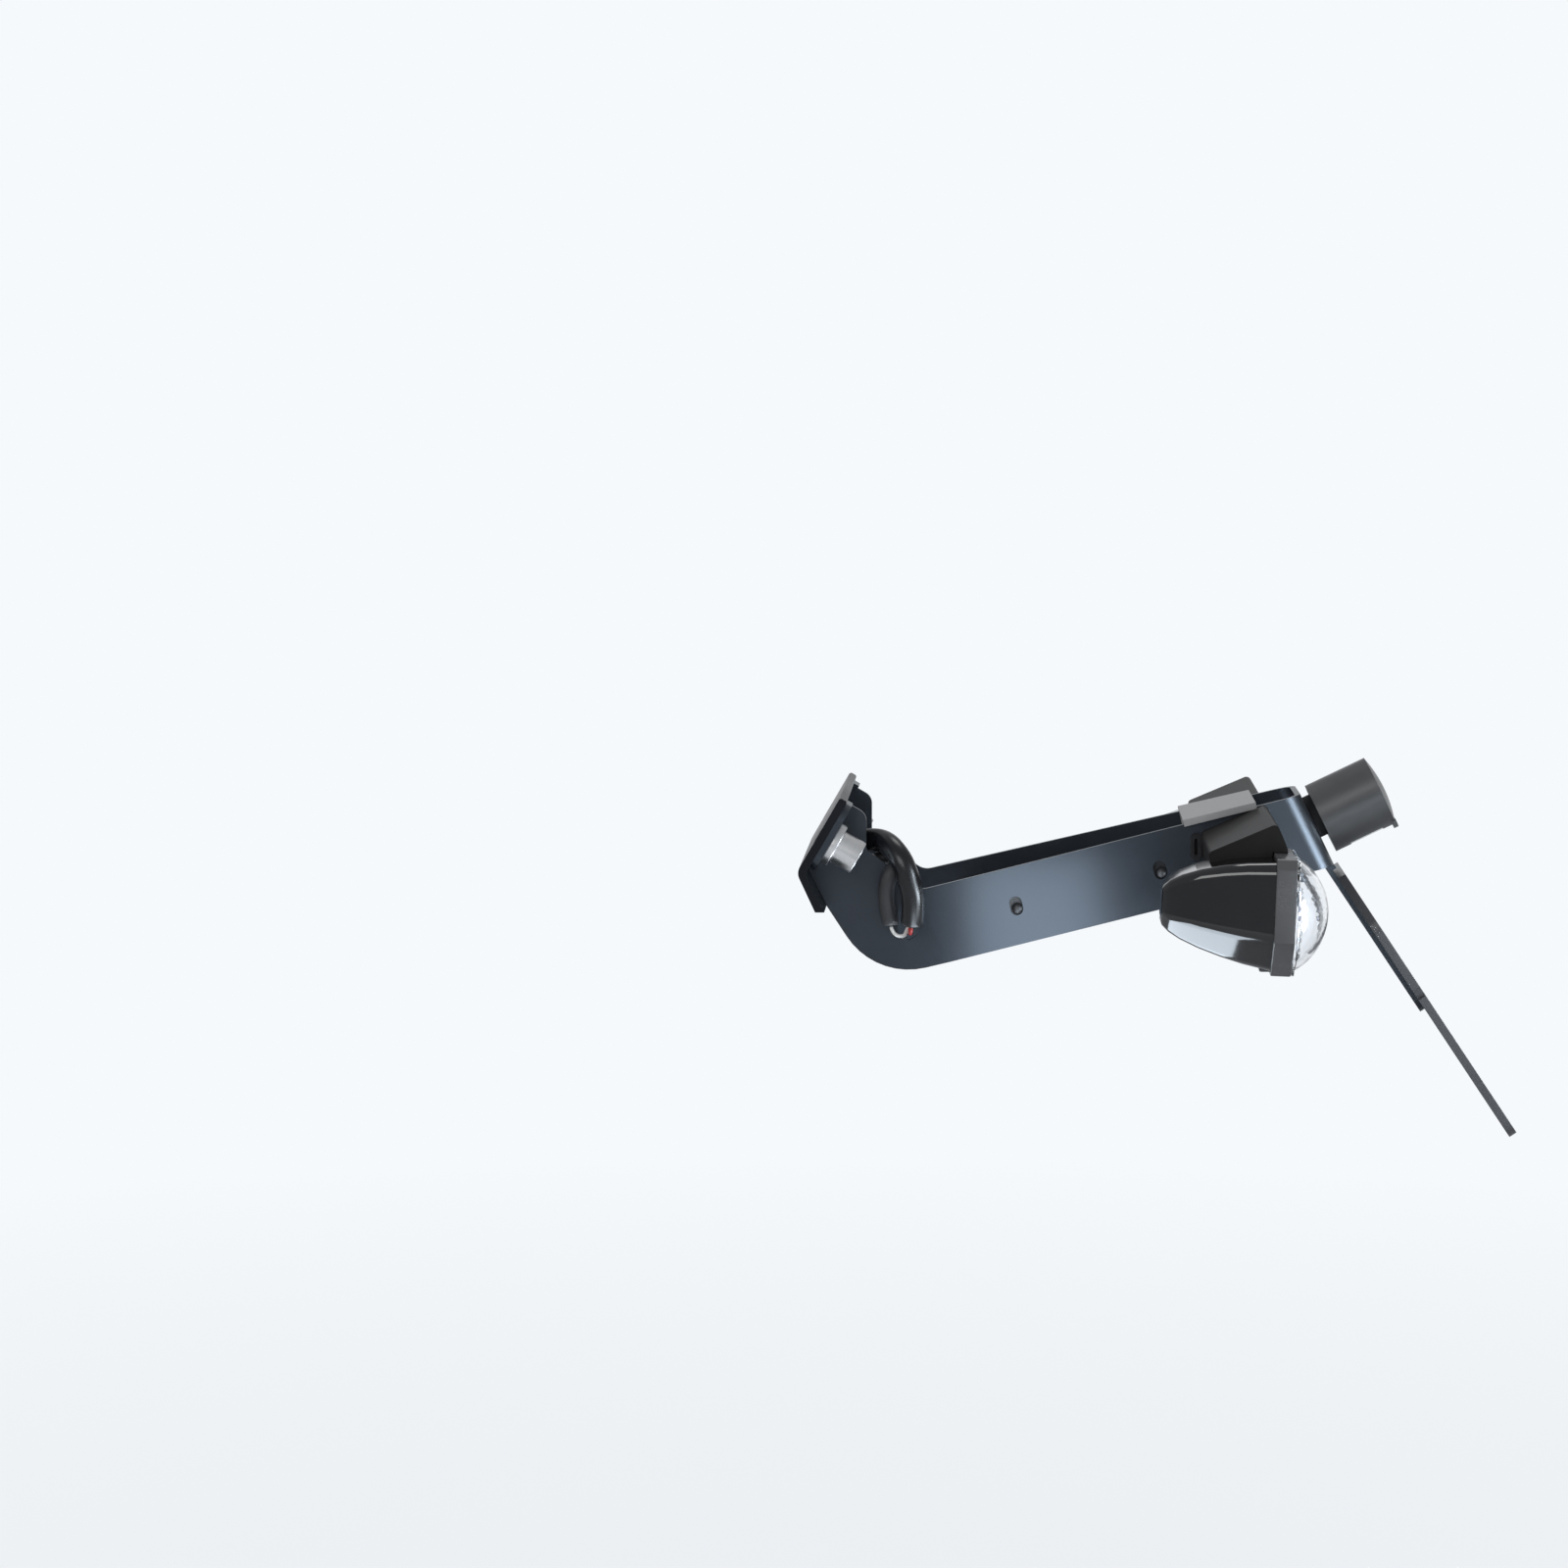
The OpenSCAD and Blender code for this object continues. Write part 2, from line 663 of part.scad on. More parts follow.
cup_neck_r = 7;
cup_from = bezel_len - spigot - fit - cup_depth;
module left_reflector() {
    color([0.85, 0.86, 0.88]) head_place() translate([0, 0, cup_from]) rotate_extrude() {
        polygon(concat(
            [for (i = [0:12]) let (t = i / 12)
                [cup_neck_r + (cup_mouth_r - cup_neck_r) * sqrt(t), cup_depth * t]],
            [for (i = [0:12]) let (t = 1 - i / 12)
                [cup_neck_r - 1 + (cup_mouth_r - cup_neck_r) * sqrt(t), cup_depth * t]]));
    }
}
module left_bulb_holder() {
    color([0.12, 0.12, 0.12]) head_place() difference() {
        union() {
            translate([0, 0, cup_from - 9]) cylinder(h = 9 - fit / 3, r = cup_neck_r + 1.5);
            translate([0, 0, cup_from - 1]) cylinder(h = 4, r = cup_neck_r - 1 - fit);
        }
        translate([0, 0, cup_from - 3]) cylinder(h = 20, r = bulb_r - 1);
    }
}
module left_bulb() {
    color([1.0, 0.62, 0.15]) head_place() union() {
        translate([0, 0, cup_from - 3]) cylinder(h = 8, r = bulb_r - 1 - fit / 6);
        translate([0, 0, cup_from + 4]) cylinder(h = 8, r = bulb_r);
        translate([0, 0, cup_from + 12]) sphere(r = bulb_r);
    }
}

// Number plate lamp
lead_hole_r = 3;
lamp_wall = 2;
window_from = 8;
window_to = 25;
window_w = 14;
lamp_front = gasket_t;
lamp_end = lamp_front + lamp_len;
lamp_dome = 2.5;
lamp_ball = (lamp_r * lamp_r + lamp_dome * lamp_dome) / (2 * lamp_dome);
lamp_lip = 2;
lamp_lip_w = 18;
module lamp_gasket() {
    color([0.04, 0.04, 0.04]) at_lamp() difference() {
        intersection() {
            rod_x(0, gasket_t, gasket_r);
            translate([-bite, -far, -gasket_low]) cube([gasket_t + 2 * bite, 2 * far, far]);
        }
        rod_x(-bite, gasket_t + bite, lead_hole_r);
        for (s = [-1, 1]) {
            translate([0, s * lamp_screw_y, 0]) rod_x(-bite, gasket_t + bite, lamp_screw_r + fit);
        }
    }
}
module window_cut(grow, deep) {
    translate([lamp_front + window_from - grow, -window_w / 2 - grow, -lamp_r - 2])
        cube([window_to - window_from + 2 * grow, window_w + 2 * grow, deep + 2]);
}
module lamp_body() {
    color([0.14, 0.15, 0.16]) at_lamp() difference() {
        union() {
            rod_x(lamp_front, lamp_end, lamp_r);
            intersection() {
                rod_x(lamp_end - bite, lamp_end + lamp_dome, lamp_r);
                translate([lamp_end + lamp_dome - lamp_ball, 0, 0]) sphere(r = lamp_ball);
            }
            intersection() {
                rod_x(lamp_end - 1.4, lamp_end + 0.8, lamp_r + lamp_lip);
                translate([lamp_end - 2, -lamp_lip_w / 2, -far]) cube([4, lamp_lip_w, far - lamp_r + 3]);
            }
            for (s = [-1, 1]) {
                translate([0, s * lamp_screw_y, 0]) rod_x(lamp_front, lamp_front + 10, 3.5);
            }
        }
        difference() {
            rod_x(lamp_front + 3, lamp_front + lamp_len - lamp_wall, lamp_r - lamp_wall);
            for (s = [-1, 1]) {
                translate([0, s * lamp_screw_y, 0]) rod_x(lamp_front, lamp_front + 10, 3.5);
            }
        }
        rod_x(0, lamp_front + 4, lead_hole_r);
        for (s = [-1, 1]) {
            translate([0, s * lamp_screw_y, 0]) rod_x(lamp_front - bite, lamp_front + 9, lamp_screw_r);
        }
        window_cut(0, 8);
    }
}
module lamp_window() {
    color([0.85, 0.88, 0.90, 0.6]) at_lamp() intersection() {
        difference() {
            rod_x(0, far, lamp_r - 0.2);
            rod_x(0, far, lamp_r - lamp_wall);
        }
        window_cut(-fit / 3, 9);
    }
}
board_z = -2;
module lamp_board() {
    color([0.75, 0.78, 0.70]) at_lamp() {
        translate([lamp_front + 11, -12, board_z]) cube([15, 24, 1.6]);
        for (i = [0:2]) {
            translate([lamp_front + 14 + i * 4, -1.5, board_z - 1.2]) cube([2.6, 3, 1.2 + bite / 5]);
        }
        for (s = [-1, 1]) {
            translate([lamp_front + 9.5, s * 13 - 1, board_z]) cube([3, 2, 1.6]);
        }
    }
}
lamp_screw_head = 1.8;
module lamp_screws() {
    color([0.70, 0.70, 0.72]) at_lamp() for (s = [-1, 1]) {
        translate([0, s * lamp_screw_y, 0]) {
            rod_x(-wall_t - lamp_screw_head, lamp_front + 8, lamp_screw_r - 0.02);
            rod_x(-wall_t - lamp_screw_head, -wall_t, 2 * lamp_screw_r - 0.4);
        }
    }
}

// Number plate holder
notch_at = 68;
plate_rows = [92, 132];
module plate_holder() {
    top = wall_t + 3.5;
    color([0.16, 0.16, 0.17]) on_holder() difference() {
        rotate([90, 0, 90]) linear_extrude(holder_t) polygon(rounded([
            [-holder_w / 2, -28, 12],
            [-wall_y(rear_face), -top, 5],
            [wall_y(rear_face), -top, 5],
            [holder_w / 2, -28, 12],
            [holder_w / 2, -holder_h, 8],
            [-holder_w / 2, -holder_h, 8]]));
        for (row = plate_rows, s = [-1, 1]) {
            translate([0, s * plate_hole_pitch / 2, -row]) rod_x(-bite, holder_t + bite, plate_hole_r);
        }
        for (row = carrier_rows, s = [-1, 1]) {
            translate([0, s * carrier_half, -row]) rivet(fit / 15, bite);
        }
        for (s = [-1, 1]) {
            translate([-bite, s * holder_w / 2 - 4, -notch_at - 2.5]) cube([holder_t + 2 * bite, 8, 5]);
        }
        for (s = [-1, 1], row = plate_rows) {
            translate([0, s * (plate_hole_pitch / 2 - 18), -row]) rotate([90, 0, 90])
                rotate([0, 0, 90]) obround(9, 19, holder_t + bite);
        }
    }
}
module carrier_rivets() {
    color([0.08, 0.08, 0.09]) at_carrier_rivets() rivet(0, 0);
}

// Point on the lamp's axis, in front of or behind the rear plate
function lamp_entry(x) = [
    (rear_face + x) * cos(end_lean) - lamp_mid * sin(end_lean), 0,
    (rear_face + x) * sin(end_lean) + lamp_mid * cos(end_lean)];
// Wiring, as tubes along routes of points chosen by hand
function along_route(p, i, s) =
    let (
        n = len(p),
        a = p[max(i - 1, 0)], b = p[i], c = p[min(i + 1, n - 1)], d = p[min(i + 2, n - 1)])
    0.5 * (2 * b + (c - a) * s + (2 * a - 5 * b + 4 * c - d) * s * s + (3 * b - a - 3 * c + d) * s * s * s);
function smooth_route(p, cuts) = concat(
    [for (i = [0:len(p) - 2], k = [0:cuts - 1]) along_route(p, i, k / cuts)],
    [p[len(p) - 1]]);
function frames(path, i = 0, side = [0, 0, 1]) =
    i >= len(path) ? [] :
    let (
        ahead = unit(path[min(i + 1, len(path) - 1)] - path[max(i - 1, 0)]),
        u = unit(side - ahead * (side * ahead)))
    concat([[u, cross(ahead, u)]], frames(path, i + 1, u));
module tube(points, d, cuts = 2, sides = 10, side = [0, 0, 1], first = undef, last = undef) {
    path = smooth_route(points, cuts);
    n = len(path);
    inner = frames(path, 0, side);
    square = function (v, u) let (a = unit(v), w = unit(u - a * (u * a))) [w, cross(a, w)];
    frame = [for (i = [0:n - 1])
        i == 0 && first != undef ? square(first, inner[0][0])
        : i == n - 1 && last != undef ? square(last, inner[i][0]) : inner[i]];
    rings = [for (i = [0:n - 1], k = [0:sides - 1])
        path[i] + d / 2 * (cos(360 * k / sides) * frame[i][0] + sin(360 * k / sides) * frame[i][1])];
    polyhedron(
        points = rings,
        faces = concat(
            [[for (k = [0:sides - 1]) k]],
            [for (i = [0:n - 2], k = [0:sides - 1])
                [i * sides + k, (i + 1) * sides + k, (i + 1) * sides + (k + 1) % sides, i * sides + (k + 1) % sides]],
            [[for (k = [sides - 1:-1:0]) (n - 1) * sides + k]]));
}
connector_box = [20, 12, 16];
connector_at = [6, 3.5 - front_half, -36];
// Points whose distance across starts at the left wall's outer face
function beside(points) = [for (p = points) [p.x, p.y - front_half, p.z]];
sleeve_route = beside([
    [12.5, 9.5, -20], [12.9, 9.4, -14], [16, 9.2, -8.2], [22, 9.1, -4.6], [28, 5.4, -4], [31.6, 0.1, -4.6],
    [35, -7, -6.4], [39.8, -13.2, -12], [42.8, -14, -20], [44.8, -12.8, -28], [45, -10.8, -36],
    [44.4, -8.2, -43.5]]);
strand_route = beside([
    [23, 7.8, -20], [23.3, 8, -17], [26.5, 9, -14.6], [31, 10, -13], [36.6, 7.4, -11.9], [38.5, 1.8, -12.9],
    [35.5, -5.3, -17.2], [33.1, -6, -22], [32, -5.6, -27.5], [32.8, -5, -36], [34.4, -4.8, -44]]);
sleeve_end = [-1, 2.2, -7.5];
strand_end = [1.8, 0, -9];
white_route = beside([
    [34.4, -4.8, -44.1], [35.6, -4.4, -47.2], [37.8, -3.6, -49], [40.6, -1.2, -49.2], [41.4, 3, -47.8],
    [43, 7, -45.4], [49.3, 10.6, -42.2]]);
red_route = beside([
    [44.4, -8.1, -43.6], [44, -6.2, -47], [43.4, -2.2, -48], [43.4, 2.2, -45.4], [44.8, 7, -41.6],
    [48.8, 12.4, -39.2]]);
trunk_route = concat(beside([[49.2, 12, -40.5], [60, 17, -43.6], [74, 24, -47.6]]),
    [[90, -0.289 * front_half, -47.4], [110, -0.122 * front_half, -43.2], [135, -1, -37], [150, 0, -33.4]]);
arm_dir = [cos(arm_slope), 0, sin(arm_slope)];
split = [150.3, 0, -33.4];
lead_d = 2.4;
lead_route = [split + [0, -1.8, -1], [160, -3, -30], [174, -0.156 * front_half, -22],
    [186, -0.278 * front_half, -13.5], stud_axis(-15) + [-1.6, 1, -0.4],
    stud_axis(-10), stud_axis(0), stud_axis(20), stud_axis(0.67 * passage_reach),
    stud_axis(passage_reach - 4), passage_turn + [0, -4, -2.2], passage_end,
    [bezel_x - 10, 15 - head_y, 11.8 - head_down], [bezel_x - 16.1, 11 - head_y, 8.3 - head_down],
    [bezel_x - 20, 7 - head_y, 5.6 - head_down]];
lamp_route = [split + [0, 0, 2], [160, 0, -28.6], [180, 0, -19], [204, 0, -9], lamp_entry(-16), lamp_entry(-6),
    lamp_entry(gasket_t + 7)];
module loom_connector() {
    c = connector_box;
    color([0.09, 0.09, 0.10]) translate(connector_at) difference() {
        union() {
            cube(c);
            translate([3, c.y - bite, 3]) cube([c.x - 6, 2, 8]);
        }
        translate([2, 2, -bite]) cube([c.x - 4, c.y - 4, 7]);
    }
}
module loom_sleeve() {
    color([0.04, 0.04, 0.05]) tube(sleeve_route, sleeve_d, 2, 12, [0, 1, 0], first = [0, 0, 1], last = sleeve_end);
}
module loom_strand() {
    color([0.15, 0.15, 0.15]) tube(strand_route, strand_d, 2, 10, [0, 1, 0], first = [0, 0, 1], last = strand_end);
}
module white_wire() {
    color([0.92, 0.92, 0.9]) tube(white_route, wire_d, 2, 8, first = strand_end, last = arm_dir);
}
module red_wire() {
    color([0.8, 0.12, 0.1]) tube(red_route, wire_d, 2, 8, first = sleeve_end, last = arm_dir);
}
module loom_trunk() {
    color([0.05, 0.05, 0.05]) tube(trunk_route, trunk_d, 2, 10, first = arm_dir, last = arm_dir);
}
module lamp_lead() {
    color([0.05, 0.05, 0.05]) tube(lamp_route, lead_d, 2, 8, first = arm_dir);
}
module left_indicator_lead() {
    color([0.05, 0.05, 0.05]) tube(lead_route, lead_d, 2, 8, first = arm_dir, last = [0, -1.2, -1]);
}

arm_bracket();
mount_adaptor();
left_mount_collar();
right() left_mount_collar();  // right_mount_collar
cable_cover();
indicator_saddle();
left_stem();
right() left_stem();  // right_stem
left_stem_stud();
right() left_stem_stud();  // right_stem_stud
left_stem_nut();
right() left_stem_nut();  // right_stem_nut
left_wire_grommet();
right() left_wire_grommet();  // right_wire_grommet
left_housing();
right() left_housing();  // right_housing
left_bezel();
right() left_bezel();  // right_bezel
left_lens();
right() left_lens();  // right_lens
left_reflector();
right() left_reflector();  // right_reflector
left_bulb();
right() left_bulb();  // right_bulb
left_bulb_holder();
right() left_bulb_holder();  // right_bulb_holder
left_indicator_lead();
right() left_indicator_lead();  // right_indicator_lead
lamp_gasket();
lamp_body();
lamp_window();
lamp_board();
lamp_screws();
lamp_lead();
plate_holder();
carrier_rivets();
loom_connector();
loom_sleeve();
loom_strand();
white_wire();
red_wire();
loom_trunk();
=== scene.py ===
# %% [markdown]
# A tail tidy is a folded sheet bracket that bolts under the rear of a motorbike. It carries the plate
# holder, a plate lamp and two indicators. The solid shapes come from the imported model, which is loaded as
# a fixed frame in metres. This lesson gives every piece its rounded edges, its finish and its light.

# %% Load the frame
from math import radians

import bmesh
import bpy
from mathutils import Matrix, Vector


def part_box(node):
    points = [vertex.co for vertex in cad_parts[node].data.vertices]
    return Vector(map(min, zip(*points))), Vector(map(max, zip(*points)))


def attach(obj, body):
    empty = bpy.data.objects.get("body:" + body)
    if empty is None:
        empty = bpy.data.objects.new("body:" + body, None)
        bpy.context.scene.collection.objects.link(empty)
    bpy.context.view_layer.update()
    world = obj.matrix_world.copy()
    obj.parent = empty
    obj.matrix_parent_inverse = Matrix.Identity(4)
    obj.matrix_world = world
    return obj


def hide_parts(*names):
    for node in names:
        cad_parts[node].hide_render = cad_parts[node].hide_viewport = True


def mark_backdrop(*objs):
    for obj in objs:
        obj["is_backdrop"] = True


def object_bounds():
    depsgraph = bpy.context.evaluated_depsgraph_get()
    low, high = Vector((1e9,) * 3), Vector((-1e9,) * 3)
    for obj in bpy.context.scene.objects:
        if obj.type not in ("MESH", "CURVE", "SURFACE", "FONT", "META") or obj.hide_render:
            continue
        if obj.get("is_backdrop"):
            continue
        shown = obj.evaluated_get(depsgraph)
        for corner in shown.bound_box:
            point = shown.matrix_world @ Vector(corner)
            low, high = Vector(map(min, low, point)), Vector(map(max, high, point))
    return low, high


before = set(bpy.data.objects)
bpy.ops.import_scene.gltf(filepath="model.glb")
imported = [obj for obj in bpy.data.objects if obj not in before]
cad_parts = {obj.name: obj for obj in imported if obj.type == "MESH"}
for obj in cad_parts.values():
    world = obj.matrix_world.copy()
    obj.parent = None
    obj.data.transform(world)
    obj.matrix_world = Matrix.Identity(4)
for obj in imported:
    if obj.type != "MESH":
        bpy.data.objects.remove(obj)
cad_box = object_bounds()
scene = bpy.context.scene
print("nodes loaded:", len(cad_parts))

# %% [markdown]
# The camera comes first, because everything else is judged through it. The photograph was taken from the
# left side with a long lens, a little above the part and looking slightly down. A focal length in
# millimetres on a 36 mm wide sensor says the same as a focal length in pixels, so the lens is worked out
# from the pixels. A track constraint could aim the camera too, but a rotation made from the view
# direction needs no extra object.

# %% Camera
MM = 0.001
SENSOR_MM = 36
FOCAL_PIXELS = 4600
PHOTO_PIXELS = 1600
camera_data = bpy.data.cameras.new("camera")
camera_data.sensor_width = SENSOR_MM
camera_data.lens = SENSOR_MM * FOCAL_PIXELS / PHOTO_PIXELS
camera_data.clip_end = 60
camera = bpy.data.objects.new("camera", camera_data)
scene.collection.objects.link(camera)
camera.location = Vector((89.4, -2176.6, 220.2)) * MM
camera.rotation_euler = Vector((-0.0495, 0.9945, -0.0920)).to_track_quat("-Z", "Y").to_euler()
scene.camera = camera
scene.view_settings.view_transform = "Standard"
print("lens in mm:", round(camera_data.lens, 1))

# %% [markdown]
# Materials are node graphs. Joining nodes by hand hides the arithmetic, so one small class wraps a socket
# and lets Python operators add the Math nodes. A second class holds the graph of one material and adds
# any other node from its type, its settings and its inputs.

# %% Shader helpers
class Value:
    def __init__(self, graph, socket):
        self.graph, self.socket = graph, socket

    def math(self, operation, other):
        return self.graph.node("ShaderNodeMath", {"operation": operation}, {0: self, 1: other})

    def __add__(self, other): return self.math("ADD", other)
    def __radd__(self, other): return self.math("ADD", other)
    def __mul__(self, other): return self.math("MULTIPLY", other)
    def __rmul__(self, other): return self.math("MULTIPLY", other)


class Graph:
    def __init__(self, owner):
        owner.use_nodes = True
        self.tree = owner.node_tree
        self.tree.nodes.clear()

    def node(self, kind, settings=None, inputs=None, output=0):
        made = self.tree.nodes.new(kind)
        for key, value in (settings or {}).items():
            setattr(made, key, value)
        for key, value in (inputs or {}).items():
            if isinstance(value, Value):
                self.tree.links.new(value.socket, made.inputs[key])
            else:
                made.inputs[key].default_value = value
        return Value(self, made.outputs[output]) if made.outputs else None

    def coords(self):
        return self.node("ShaderNodeTexCoord", None, None, "Object")

    def noise(self, scale, detail=2.0, roughness=0.5, stretch=(1, 1, 1)):
        place = self.node("ShaderNodeMapping", None, {"Vector": self.coords(), "Scale": stretch})
        return self.node("ShaderNodeTexNoise", None,
                         {"Vector": place, "Scale": scale, "Detail": detail, "Roughness": roughness})

    def blend(self, factor, a, b):
        return self.node("ShaderNodeMix", {"data_type": "RGBA"}, {0: factor, 6: a, 7: b}, 2)

    def span(self, value, low, high, to_low=0.0, to_high=1.0):
        ends = {"From Min": low, "From Max": high, "To Min": to_low, "To Max": to_high}
        return self.node("ShaderNodeMapRange", None, {"Value": value, **ends})

    def bump(self, height, depth):
        return self.node("ShaderNodeBump", None, {"Height": height, "Distance": depth, "Strength": 1.0})

    def mix_shaders(self, factor, first, second):
        return self.node("ShaderNodeMixShader", None, {0: factor, 1: first, 2: second})

    def close(self, shader):
        self.node("ShaderNodeOutputMaterial", None, {"Surface": shader})


def surface(name, paint, fixed=None):
    material = bpy.data.materials.new(name)
    graph = Graph(material)
    graph.close(graph.node("ShaderNodeBsdfPrincipled", None, {**(fixed or {}), **paint(graph)}))
    return material


print("helpers ready")

# %% [markdown]
# The floor and the background are plain and pale. Light Path tells the shader whether a ray comes from
# the camera or through glass. Those rays see the pale background colour, and all other rays see the
# ordinary level of the room, so the background never throws extra light on the part. The floor still
# takes the part's shadow, because only a share of it is replaced by the plain colour, and that share
# grows with the distance until floor and background meet without a line.

# %% Floor and background
def rgb(red, green, blue):
    linear = [((c / 255 + 0.055) / 1.055) ** 2.4 for c in (red, green, blue)]
    return (*linear, 1.0)


PALE = rgb(246, 249, 252)
PAPER = rgb(238, 240, 243)
ROOM_TINT = (0.93, 0.96, 1.0, 1)
ROOM = 0.42
FLOOR_Z = -0.42
STRAIGHT = ("Is Camera Ray", "Is Transmission Ray")
MIRRORED = ("Is Camera Ray", "Is Glossy Ray", "Is Transmission Ray")


def seen_by(graph, kinds):
    path = graph.tree.nodes.new("ShaderNodeLightPath")
    total = 0.0
    for kind in kinds:
        total = total + Value(graph, path.outputs[kind])
    return graph.node("ShaderNodeMath", {"operation": "MINIMUM"}, {0: total, 1: 1.0})


def paper(name, kinds, share=None):
    material = bpy.data.materials.new(name)
    graph = Graph(material)
    seen = seen_by(graph, kinds)
    if share:
        seen = seen * share(graph)
    matt = graph.node("ShaderNodeBsdfDiffuse", None, {"Color": PAPER})
    plain = graph.node("ShaderNodeEmission", None, {"Color": PALE, "Strength": 1.0})
    graph.close(graph.mix_shaders(seen, matt, plain))
    return material


def studio_sheet(name, material, half_sizes, turn, place):
    bm = bmesh.new()
    bmesh.ops.create_grid(bm, x_segments=1, y_segments=1, size=1)
    bmesh.ops.scale(bm, verts=bm.verts, vec=(*half_sizes, 1))
    bmesh.ops.rotate(bm, verts=bm.verts, matrix=Matrix.Rotation(radians(turn), 3, "X"))
    bmesh.ops.translate(bm, verts=bm.verts, vec=place)
    mesh = bpy.data.meshes.new(name)
    bm.to_mesh(mesh)
    bm.free()
    mesh.materials.append(material)
    obj = bpy.data.objects.new(name, mesh)
    scene.collection.objects.link(obj)
    return obj


def share_by_distance(graph):
    near, far, least = 0.45, 1.5, 0.8
    distance = graph.node("ShaderNodeVectorMath", {"operation": "LENGTH"}, {0: graph.coords()}, 1)
    return graph.span(distance, near, far, least, 1.0)


world = bpy.data.worlds.new("studio")
scene.world = world
sky = Graph(world)
room = sky.node("ShaderNodeBackground", None, {"Color": ROOM_TINT, "Strength": ROOM})
pale = sky.node("ShaderNodeBackground", None, {"Color": PALE, "Strength": 1.0})
sky.node("ShaderNodeOutputWorld", None, {"Surface": sky.mix_shaders(seen_by(sky, STRAIGHT), room, pale)})
floor = studio_sheet("floor", paper("floor_paper", STRAIGHT, share_by_distance), (14, 14), 0, (0, 0, FLOOR_Z))
print("floor at", FLOOR_Z)

# %% [markdown]
# A pale wall stands behind the part. Reflections see it too, so edges that are seen at a flat angle turn
# white, as they do in a real studio, while the room on the camera's side stays dim.

# %% Backdrop
BACKDROP_PLACE = (0.6, 1.9, 0.14)
backdrop = studio_sheet("backdrop", paper("wall_paper", MIRRORED), (4.0, 0.56), 90, BACKDROP_PLACE)
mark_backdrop(floor, backdrop)
print("backdrop at", BACKDROP_PLACE)

# %% [markdown]
# Soft light comes from area lamps. The key stands on the camera's side and gives the paint its level,
# and one above the rear draws the pale tops of the bezel and the saddle. Dark, shiny things are lit by
# what they mirror, so the place of each further lamp follows from the highlight that it has to make. A
# tall one at the side puts the bright line on the bend of the arm, two small ones put the sheen on its
# wall, and a low panel is mirrored in the belly of the glossy housings. These show only in the gloss and
# add no light of their own to the paint.

# %% Lamps
MIDDLE = (0.16, 0.0, -0.04)
COOL = (0.80, 0.90, 1.0)


def softbox(name, place, aim, size, power, colour=(1, 1, 1), gloss_only=False):
    data = bpy.data.lights.new(name, "AREA")
    data.shape = "RECTANGLE"
    data.size, data.size_y = size
    data.energy = power
    data.color = colour
    lamp = bpy.data.objects.new(name, data)
    lamp.location = place
    lamp.rotation_euler = (Vector(aim) - Vector(place)).to_track_quat("-Z", "Y").to_euler()
    lamp.visible_camera = False
    lamp.visible_diffuse = not gloss_only
    scene.collection.objects.link(lamp)


softbox("key", (-0.8, -2.0, 1.0), MIDDLE, (1.5, 1.0), 17)
softbox("overhead", (0.22, 0.6, 1.5), MIDDLE, (0.6, 0.6), 4.5)
softbox("bend_strip", (0.78, -0.36, -0.06), (0.23, 0, -0.03), (0.34, 0.5), 15, COOL, gloss_only=True)
softbox("wall_sheen", (0.35, -0.50, -0.08), (0.215, -0.04, -0.03), (0.18, 0.18), 0.26, COOL, gloss_only=True)
softbox("arm_sheen", (0.112, -0.095, -0.052), (0.112, -0.03, -0.052), (0.066, 0.08), 0.08, COOL,
        gloss_only=True)
softbox("low_panel", (0.082, -0.13, -0.20), (0.082, -0.13, 0), (0.13, 0.22), 0.7, COOL, gloss_only=True)

# %% [markdown]
# The solids arrive as loose triangles with knife edges. Real sheet, castings and mouldings have small
# rounded edges that catch the light. A copy of each solid is merged, its flat areas are joined again, its
# convex edges are bevelled, and the copy stands in for the solid. A Bevel node in the material would be
# quicker, but real bevels also change the silhouette and stay in the mesh itself.

# %% Copying and rounding
WELD = 0.03 * MM
FLAT_ANGLE = 1.5
SHARP_ANGLE = 38
CREASE_ANGLE = 32


def merged(node, weld=WELD):
    bm = bmesh.new()
    bm.from_mesh(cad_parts[node].data)
    bmesh.ops.remove_doubles(bm, verts=bm.verts, dist=weld)
    return bm


def round_edges(bm, width, sharp=SHARP_ANGLE, segments=2):
    edges = [e for e in bm.edges
             if len(e.link_faces) == 2 and e.calc_face_angle(0) > radians(sharp) and e.is_convex]
    bmesh.ops.bevel(bm, geom=edges, offset=width, offset_type="OFFSET", affect="EDGES", segments=segments,
                    profile=0.5, material=-1, clamp_overlap=True)
    return len(edges)


def piece(name, bm, finish, replaces=(), crease=CREASE_ANGLE):
    mesh = bpy.data.meshes.new(name)
    bm.to_mesh(mesh)
    bm.free()
    for face in mesh.polygons:
        face.use_smooth = True
    mesh.set_sharp_from_angle(angle=radians(crease))
    mesh.materials.append(finish)
    obj = bpy.data.objects.new(name, mesh)
    scene.collection.objects.link(obj)
    even = obj.modifiers.new("even_normals", "WEIGHTED_NORMAL")
    even.keep_sharp = True
    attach(obj, "root")
    if replaces:
        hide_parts(*replaces)
    return obj


def finished(node, finish, width, sharp=SHARP_ANGLE):
    bm = merged(node)
    bmesh.ops.dissolve_degenerate(bm, edges=bm.edges, dist=1e-5)
    bmesh.ops.dissolve_limit(bm, angle_limit=radians(FLAT_ANGLE), verts=bm.verts, edges=bm.edges)
    count = round_edges(bm, width * MM, sharp)
    obj = piece(node + "_finished", bm, finish, (node,))
    print(node, "edges rounded:", count, "faces:", len(obj.data.polygons))


print("copying is ready")

# %% [markdown]
# The bracket, the adaptor and the plate holder are folded sheet with a satin black powder coat. Powder
# melts into a skin with a fine orange peel, so the bump is a small, soft noise. Handling leaves faint
# cloudy patches in the gloss, and the colour leans towards blue.

